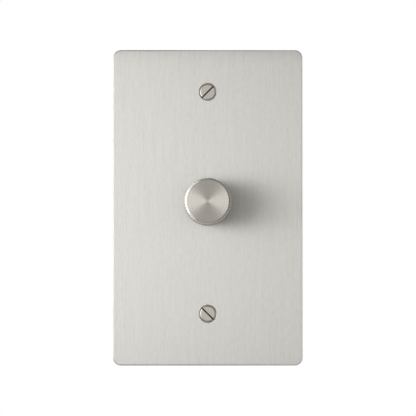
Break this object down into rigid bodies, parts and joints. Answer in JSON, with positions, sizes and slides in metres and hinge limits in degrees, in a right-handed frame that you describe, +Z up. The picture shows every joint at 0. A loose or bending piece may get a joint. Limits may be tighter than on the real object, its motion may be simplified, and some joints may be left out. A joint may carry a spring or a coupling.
{
  "type": "rotary dimmer switch",
  "caption": "Wall-mounted rotary dimmer: tall brushed metal plate with countersunk slotted screws and a knurled round push knob, control module behind.",
  "frame": {"origin": "on the knob's axis, midway between the two plate screws, in the plane of the wall behind the gasket", "axes": "+X to the right of a person facing the plate, +Y into the wall, +Z up"},
  "size_m": [0.071, 0.0518, 0.1185],
  "materials": {
    "plate_steel": "satin, brushed from top to bottom",
    "knob_steel": "turned face, knurled side",
    "screw_steel": "plain satin",
    "gasket_foam": "matte closed-cell foam",
    "set_screw_steel": "blackened",
    "spring_steel": "bright",
    "bush_plated": "nickel plated",
    "shaft_aluminium": "turned",
    "control_plastic": "moulded",
    "rotor_plastic": "moulded",
    "wafer_laminate": "laminate",
    "contact_brass": "bright",
    "case_plastic": "moulded",
    "zinc_steel": "zinc plated",
    "board_laminate": "solder mask",
    "moulding_black": "epoxy moulding",
    "pad_silicone": "matte",
    "sink_aluminium": "mill finish",
    "core_powder": "painted powder core",
    "winding_copper": "enamelled",
    "film_box": "gloss moulding",
    "can_sleeve": "shrunk sleeve",
    "fuse_ceramic": "glazed",
    "trimmer_plastic": "moulded",
    "stem_plastic": "moulded",
    "block_plastic": "moulded"
  },
  "bodies": {
    "switch_body": {"face_plate": "plate_steel", "plate_screws": "screw_steel", "plate_gasket": "gasket_foam", "lock_washer": "spring_steel", "switch_spring": "spring_steel", "threaded_bush": "bush_plated", "bush_nut": "bush_plated", "pot_case": "control_plastic", "switch_case": "control_plastic", "switch_base": "control_plastic", "track_wafer": "wafer_laminate", "track_terminals": "contact_brass", "fixed_contacts": "contact_brass", "terminal_cages": "contact_brass", "earth_post": "contact_brass", "front_case": "case_plastic", "rear_cover": "case_plastic", "case_screws": "zinc_steel", "power_screws": "zinc_steel", "terminal_screws": "zinc_steel", "earth_washer": "zinc_steel", "earth_screw": "zinc_steel", "circuit_board": "board_laminate", "power_transistors": "moulding_black", "insulating_pads": "pad_silicone", "heat_sink": "sink_aluminium", "choke_core": "core_powder", "choke_winding": "winding_copper", "film_capacitor": "film_box", "storage_capacitor": "can_sleeve", "fuse": "fuse_ceramic", "trimmer_base": "trimmer_plastic", "terminal_block": "block_plastic"},
    "push_stage": {"switch_plunger": "rotor_plastic", "moving_contact": "contact_brass"},
    "knob_stage": {"knob": "knob_steel", "knob_set_screw": "set_screw_steel", "control_shaft": "shaft_aluminium", "shaft_clip": "spring_steel"},
    "rotor": {"wiper_carrier": "rotor_plastic", "wiper_spring": "contact_brass"},
    "trimmer": {"trimmer_rotor": "stem_plastic"}
  },
  "joints": [
    {"name": "knob_push", "type": "slide", "parent": "switch_body", "child": "push_stage", "axis": [0, 1, 0], "range_m": [0, 0.0016], "stiffness_N_per_m": 1500, "springref_m": -0.001, "deforming": ["switch_spring"]},
    {"name": "knob_turn", "type": "hinge", "parent": "push_stage", "child": "knob_stage", "pos_m": [0, -0.0135, 0], "axis": [0, 1, 0], "range_deg": [-148, 148]},
    {"name": "wiper_turn", "type": "hinge", "parent": "switch_body", "child": "rotor", "pos_m": [0, 0.0056, 0], "axis": [0, 1, 0], "range_deg": [-148, 148]},
    {"name": "trimmer_turn", "type": "hinge", "parent": "switch_body", "child": "trimmer", "pos_m": [0, 0.026, -0.0046], "axis": [0, -1, 0], "range_deg": [-115, 115]}
  ],
  "couplings": [
    {"joint": "wiper_turn", "follows": "knob_turn", "ratio": 1}
  ]
}
